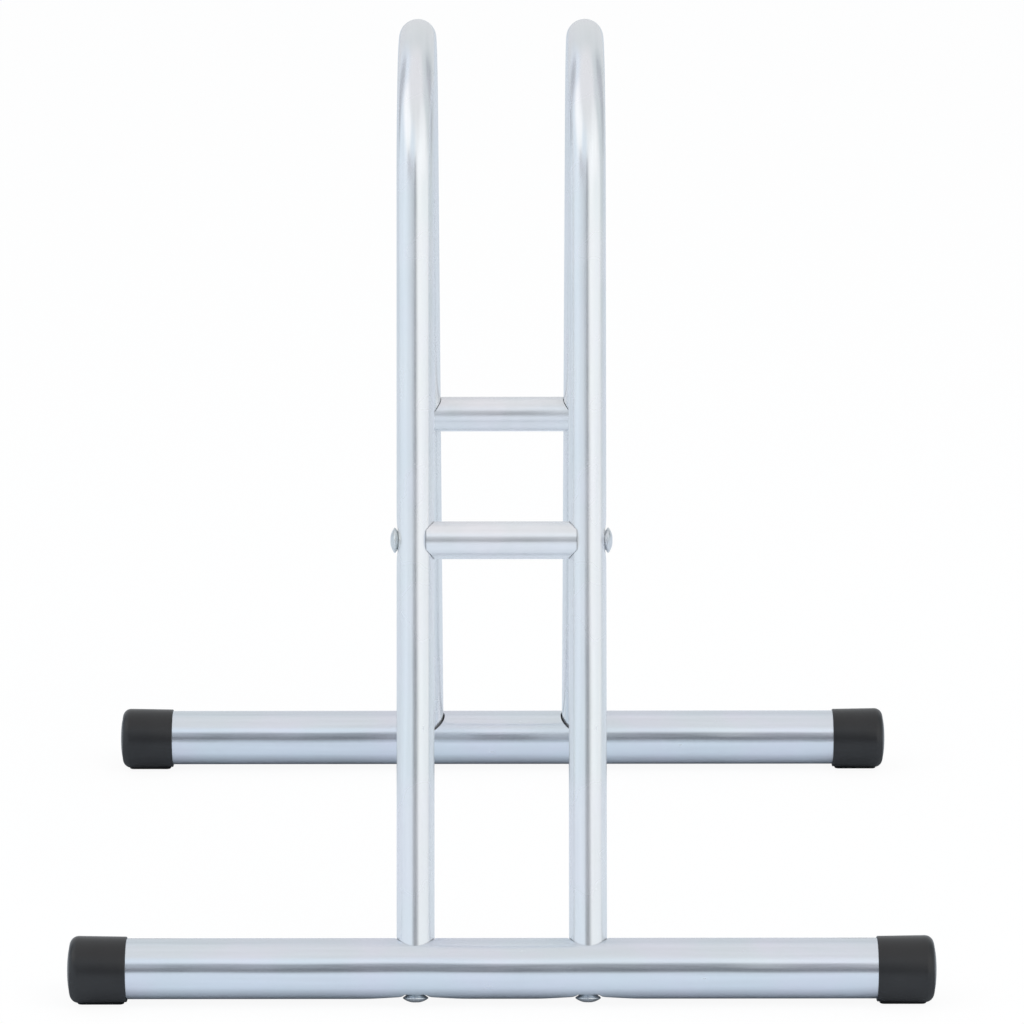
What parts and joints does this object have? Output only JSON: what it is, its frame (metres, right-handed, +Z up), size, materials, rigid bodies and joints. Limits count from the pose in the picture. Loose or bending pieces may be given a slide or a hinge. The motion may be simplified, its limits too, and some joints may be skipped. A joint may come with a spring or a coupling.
{
  "type": "floor bike rack",
  "caption": "Floor rack for a bicycle wheel: twin A-shaped tube hoops with short rungs, standing on two long base tubes with plastic end caps.",
  "frame": {"origin": "on the floor, below the middle of the rack", "axes": "+X to the right along the base tubes, -Y to the front, +Z up"},
  "size_m": [0.458, 0.4472, 0.4878],
  "materials": {
    "zinc_tube": "bright zinc plate, smooth and fairly glossy",
    "zinc_bolt": "bright zinc plate",
    "plug_steel": "turned steel, hidden inside the tubes",
    "cap_plastic": "black moulded plastic, satin"
  },
  "bodies": {
    "root": {"hoop_left": "zinc_tube", "hoop_right": "zinc_tube", "base_tube_front": "zinc_tube", "base_tube_rear": "zinc_tube", "rung_front": "zinc_tube", "rung_rear": "zinc_tube", "end_cap_front_left": "cap_plastic", "end_cap_front_right": "cap_plastic", "end_cap_rear_left": "cap_plastic", "end_cap_rear_right": "cap_plastic", "base_bolt_front_left": "zinc_bolt", "base_bolt_front_right": "zinc_bolt", "base_bolt_rear_left": "zinc_bolt", "base_bolt_rear_right": "zinc_bolt", "rung_bolt_front_left": "zinc_bolt", "rung_bolt_front_right": "zinc_bolt", "rung_bolt_rear_left": "zinc_bolt", "rung_bolt_rear_right": "zinc_bolt", "leg_nut_front_left": "plug_steel", "leg_nut_front_right": "plug_steel", "leg_nut_rear_left": "plug_steel", "leg_nut_rear_right": "plug_steel", "rung_nut_front_left": "plug_steel", "rung_nut_front_right": "plug_steel", "rung_nut_rear_left": "plug_steel", "rung_nut_rear_right": "plug_steel"}
  },
  "joints": []
}
